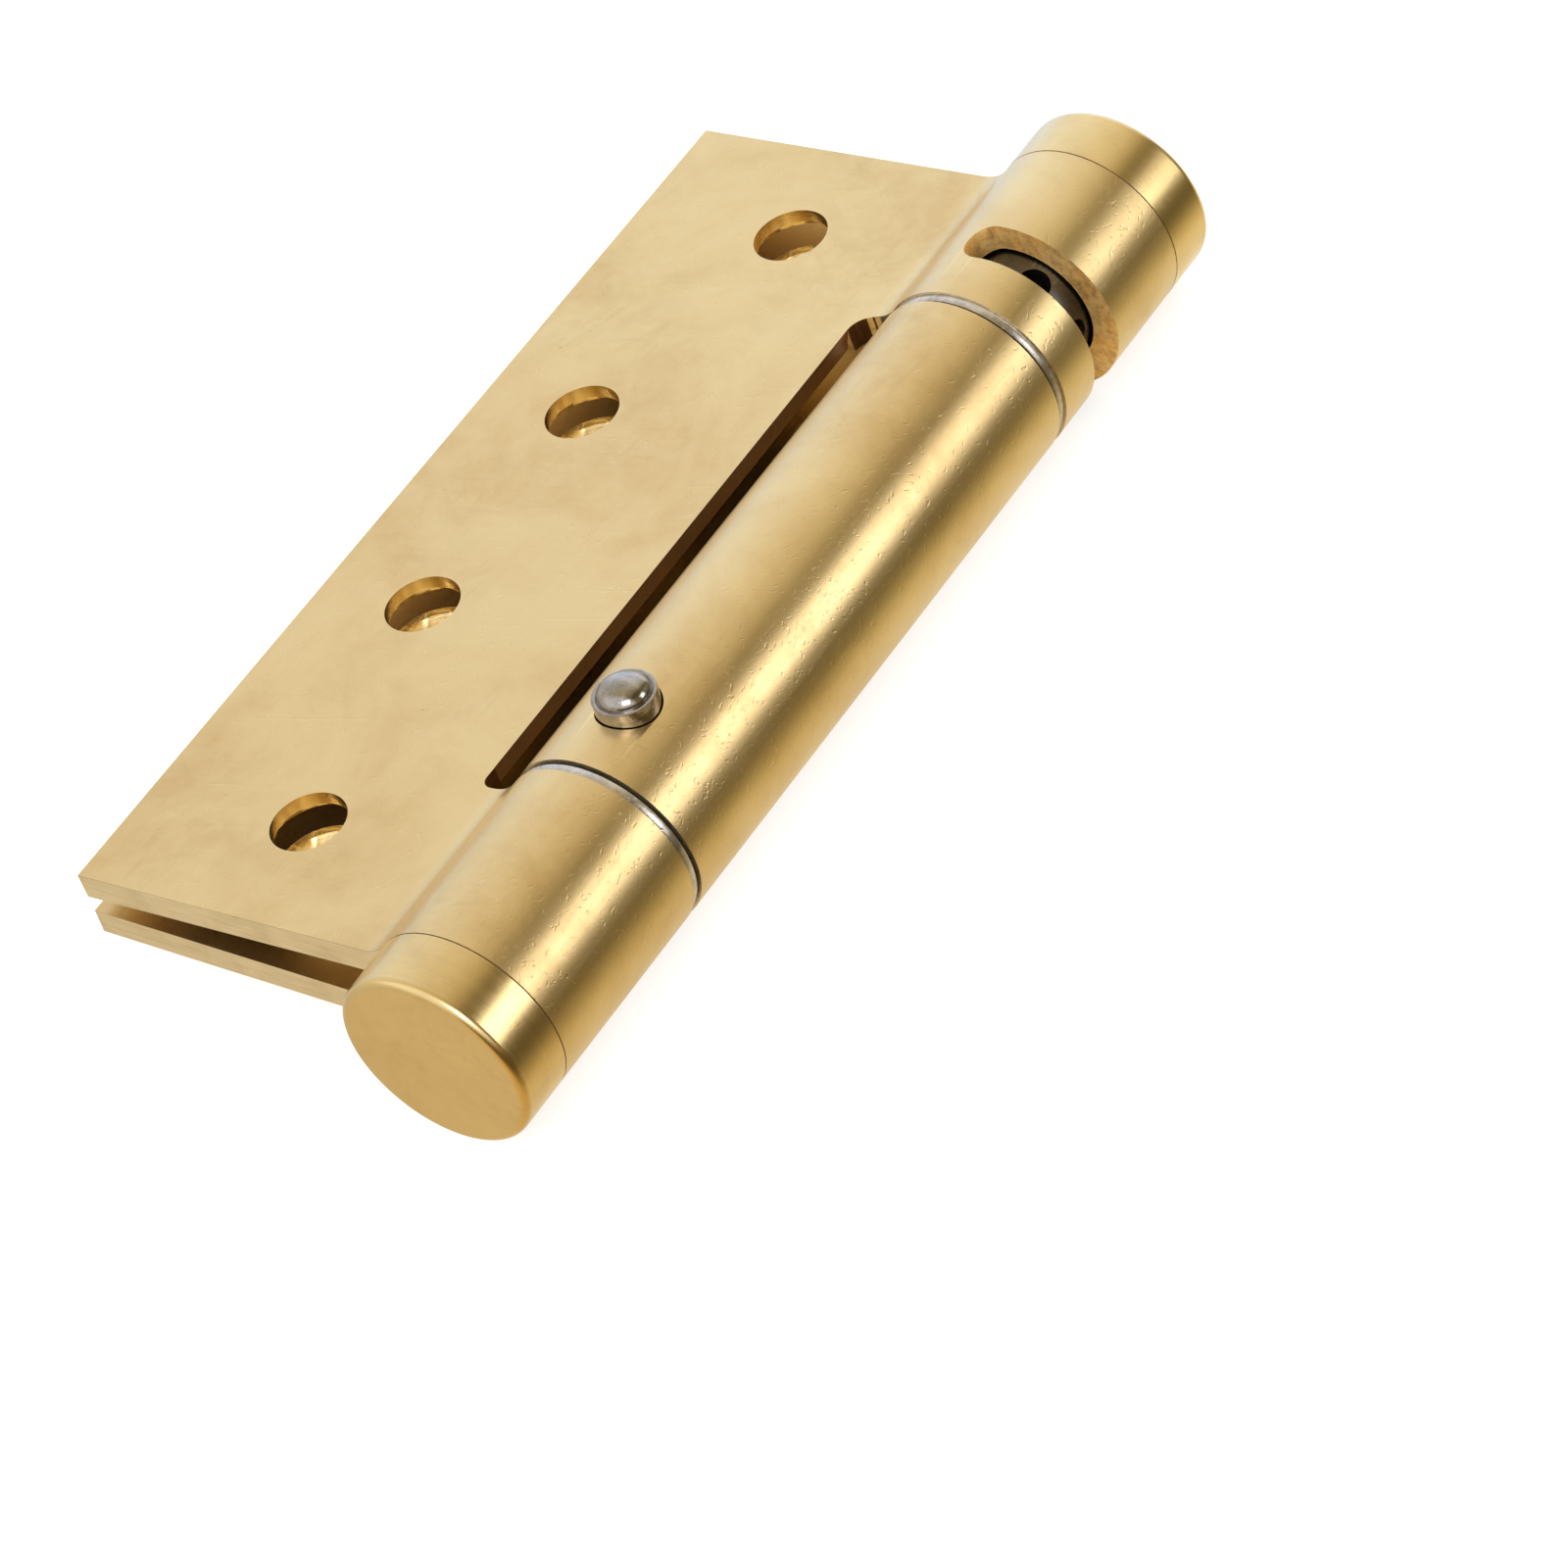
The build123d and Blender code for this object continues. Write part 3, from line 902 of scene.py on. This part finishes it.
@dataclass(frozen=True)
class Studio:
    """The plain pale room: a white floor, a bright surround with a dark band on each side of the softbox.

    The rows of the surround are an angle about the barrel from +X, a level and a warmth. The rows of the
    depth are a place between the front at -1 and the back at 1, a level and a warmth. The front colour
    takes their place towards the front, where a direction rises as far as rise_fade says.
    """

    floor_level: float = -9.3
    floor_size: float = 1600.0
    floor_colour: Colour = (0.56, 0.60, 0.65)
    floor_glow: float = 0.72
    strength: float = 1.25
    surround_rows: tuple[Triple, ...] = (
        (-180, 0.87, -0.2), (-155, 0.76, -0.2), (-130, 0.86, 0.1), (-104, 0.90, 0.50), (-80, 0.82, 0.54),
        (-56, 0.82, 0.70), (-44, 0.64, 0.80), (-34, 0.42, 0.86), (-24, 0.20, 0.90), (-15, 0.12, 0.92),
        (-6, 0.12, 0.92), (2, 0.20, 0.90), (10, 0.34, 0.75), (44, 0.34, 0.75), (52, 0.18, 0.88),
        (61, 0.24, 0.88), (70, 0.53, 0.72), (82, 0.74, 0.56), (96, 0.84, 0.46), (110, 0.88, 0.34),
        (122, 0.93, 0.22), (134, 0.93, 0.12), (155, 1.00, 0.04), (180, 0.87, -0.2),
    )
    depth_rows: tuple[Triple, ...] = (
        (-1.0, 0.86, 0.58), (-0.2, 0.86, 0.50), (0.3, 0.90, 0.14), (0.47, 0.95, 0.04), (0.53, 1.00, 0.0),
        (0.60, 1.18, -0.25), (1.0, 1.20, -0.25),
    )
    front_colour: Colour = (0.72, 0.70, 0.65)
    front_fade: tuple[float, float] = (-0.08, -0.35)
    rise_fade: tuple[float, float] = (0.15, 0.40)
    warmth_green: float = 0.28
    warmth_blue: float = 0.78
    lamps: tuple[Softbox, ...] = (
        Softbox("side_softbox", (0.797, 0.47, 0.380), 0.42, 0.54, 2.6),
        Softbox("front_softbox", (0.42, -0.52, 0.74), 0.60, 0.60, 3.0),
        Softbox("top_softbox", (-0.15, 0.2, 1.0), 0.90, 0.90, 0.4, mirrored=False),
    )

    def ramp(self, tree: Tree, value: Socket, rows: tuple[Triple, ...]) -> Socket:
        """A colour ramp over rows of a place, a level and a warmth, which shows the room's strength as 1.

        Args:
            tree: the node tree to build in.
            value: the socket between the first place and the last, mapped to 0 to 1 here.
            rows: the rows in order.

        Returns:
            The ramp's colour.
        """
        first, last = rows[0][0], rows[-1][0]
        node = tree.add("ValToRGB", Fac=tree.span(value, first, last))
        stops = node.color_ramp.elements
        while len(stops) < len(rows):
            stops.new(1.0)
        for stop, (place, level, warmth) in zip(stops, rows):
            stop.position = (place - first) / (last - first)
            red = level / self.strength
            green, blue = red * (1.0 - self.warmth_green * warmth), red * (1.0 - self.warmth_blue * warmth)
            stop.color = (red, green, blue, 1.0)
        return node.outputs[0]

    def surround(self) -> None:
        """Makes the world: white to the camera, and to the metal a surround that changes with direction."""
        world = bpy.data.worlds.new("pale_studio")
        bpy.context.scene.world = world
        tree = Tree(world)
        way = tree.add("SeparateXYZ", Vector=tree.add("TexCoord").outputs["Generated"])
        turn = tree.math("DEGREES", tree.math("ARCTAN2", way.outputs["Z"], way.outputs["X"]))
        around = self.ramp(tree, turn, self.surround_rows)
        depth = self.ramp(tree, way.outputs["Y"], self.depth_rows)
        forward = tree.span(way.outputs["Y"], *self.front_fade)
        rise = tree.span(way.outputs["Z"], *self.rise_fade)
        room = tree.blend(1.0, around, depth, "MULTIPLY")
        colour = tree.blend(tree.times(forward, rise), room, self.front_colour)
        seen = tree.add("Background", Color=(1.0, 1.0, 1.0), Strength=1.0)
        mirrored = tree.add("Background", Color=colour, Strength=self.strength**2)
        choice = tree.add("MixShader", Fac=tree.add("LightPath").outputs["Is Camera Ray"])
        tree.put(choice, 1, mirrored.outputs[0])
        tree.put(choice, 2, seen.outputs[0])
        tree.add("OutputWorld", Surface=choice.outputs[0])

    def floor(self) -> bpy.types.Object:
        """Makes the floor, white to the camera but with the hinge's soft shadow on it.

        Returns:
            The floor object.
        """
        form = bmesh.new()
        bmesh.ops.create_grid(form, x_segments=1, y_segments=1, size=self.floor_size * MM / 2)
        bmesh.ops.translate(form, verts=form.verts, vec=(0.0, 0.0, self.floor_level * MM))
        material = bpy.data.materials.new("studio_floor_white")
        tree = Tree(material)
        paper = tree.add("BsdfDiffuse", Color=self.floor_colour)
        glow = tree.add("Emission", Color=(1.0, 1.0, 1.0), Strength=self.floor_glow)
        both = tree.add("AddShader")
        tree.put(both, 0, paper.outputs[0])
        tree.put(both, 1, glow.outputs[0])
        choice = tree.add("MixShader", Fac=tree.add("LightPath").outputs["Is Camera Ray"])
        tree.put(choice, 1, paper.outputs[0])
        tree.put(choice, 2, both.outputs[0])
        tree.add("OutputMaterial", Surface=choice.outputs[0])
        floor = make_object("studio_floor", form, material)
        floor.visible_glossy = False
        return floor

    def build(self) -> None:
        """Makes the room and its lamps."""
        self.surround()
        self.floor()
        for lamp in self.lamps:
            lamp.build()


@dataclass(frozen=True)
class PhotoCamera:
    """The camera that the photograph was taken with, found from the hinge's own edges and circles.

    The place and the clipping are in millimetres, and the focal length is in pixels of the picture.
    """

    place: Triple = (307.118, -309.22, 378.44)
    forward: Triple = (-0.527344, 0.516844, -0.674375)
    right: Triple = (0.818207, 0.522843, -0.239108)
    focal: float = 6791.14
    picture: float = 1600.0
    sensor: float = 36.0
    clipping: tuple[float, float] = (50.0, 10000.0)

    def build(self) -> bpy.types.Object:
        """Makes the camera and makes it the scene's own.

        Returns:
            The camera object.
        """
        data = bpy.data.cameras.new("photo_camera")
        data.sensor_width = self.sensor
        data.lens = self.focal / self.picture * self.sensor
        data.clip_start, data.clip_end = self.clipping[0] * MM, self.clipping[1] * MM
        camera = bpy.data.objects.new("photo_camera", data)
        bpy.context.scene.collection.objects.link(camera)
        back = -Vector(self.forward).normalized()
        right = Vector(self.right)
        right = (right - back * right.dot(back)).normalized()
        turn = Matrix((right, back.cross(right), back)).transposed()
        camera.matrix_world = Matrix.Translation(Vector(self.place) * MM) @ turn.to_4x4()
        bpy.context.scene.camera = camera
        return camera


@dataclass
class SpringHinge:
    """The whole hinge: the pieces that show, the spring's halves, and the pieces that keep their CAD mesh."""

    closing: float = 3.4
    leaf_finishes: tuple[Metal, ...] = (
        BRASS, BRASS_CUT, BRASS_TURNED, BRASS_MILLED, BRASS_OILED_BORE_AND_SLOT_SHADE, BRASS_INNER, BRASS_SEAM,
    )
    inside: dict[str, Metal] = field(default_factory=lambda: {
        "plain_bush": BUSH_BRONZE,
        "drum_neck_bush": BUSH_BRONZE,
        "spindle": INNER_STEEL,
        "plain_end_clip": SPRING_STEEL,
        "drum_end_clip": SPRING_STEEL,
        "plain_end_washer": INNER_STEEL,
        "drum_end_washer": INNER_STEEL,
        "spring_anchor": INNER_STEEL,
    })
    spring: tuple[SpringHalf, ...] = (
        SpringHalf("torsion_spring_anchor_half", "centre_leaf", "end_leaf", False),
        SpringHalf("torsion_spring_drum_half", "end_leaf", "drum", True),
    )

    def shown(self) -> list[FinishedPiece]:
        """The pieces that show.

        Returns:
            The pieces in the order in which they are made.
        """
        lean = math.radians(self.closing)
        upper = {
            "along": Vector((math.cos(lean), 0.0, math.sin(lean))),
            "outward": Vector((-math.sin(lean), 0.0, math.cos(lean))),
        }
        cap = (CAP_BRASS, BRASS_SEAM)
        return [
            Leaf("end_knuckle_leaf", "end_leaf", "leaf_brass", self.leaf_finishes, has_window=True, **upper),
            Leaf("centre_knuckle_leaf", "centre_leaf", "leaf_brass", self.leaf_finishes),
            Cap("plain_end_cap", "end_leaf", "cap_brass", cap, edge=0.12),
            Cap("drum_end_cap", "end_leaf", "cap_brass", cap, edge=0.12),
            FinishedPiece("plain_thrust_washer", "end_leaf", "washer_steel", (WASHER_STEEL,)),
            FinishedPiece("drum_thrust_washer", "end_leaf", "washer_steel", (WASHER_STEEL,)),
            Drum("tension_drum", "drum", "drum_steel", (DRUM_STEEL_PAINTED_SHADE, DRUM_RIM_PAINTED_HIGHLIGHT), edge=0.14),
            Stud("anchor_stud", "centre_leaf", "stud_chrome", (STUD_STEEL,), edge=0.07),
        ]

    def build(self) -> None:
        """Makes every shown piece and the spring's halves, and dresses the pieces inside."""
        for copy in self.shown():
            piece = copy.build()
            log.info("%s: %d faces, rides on %s", piece.name, len(piece.data.polygons), copy.body)
        for half in self.spring:
            piece = half.build()
            bodies = f"{half.first_body} and {half.last_body}"
            log.info("%s: %d faces, twists between %s", piece.name, len(piece.data.polygons), bodies)
        for node, finish in self.inside.items():
            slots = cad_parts[node].data.materials
            slots.clear()
            slots.append(finish.material())
            log.info("%s: %s", node, finish.name)


def main() -> None:
    """Builds the hinge, the studio and the camera in order."""
    logging.basicConfig(level=logging.INFO, format="%(name)s %(message)s")
    bpy.context.scene.view_settings.view_transform = "Standard"
    builders: tuple[Callable[[], object], ...] = (SpringHinge().build, Studio().build, PhotoCamera().build)
    for build in builders:
        build()


if __name__ == "__main__":
    main()
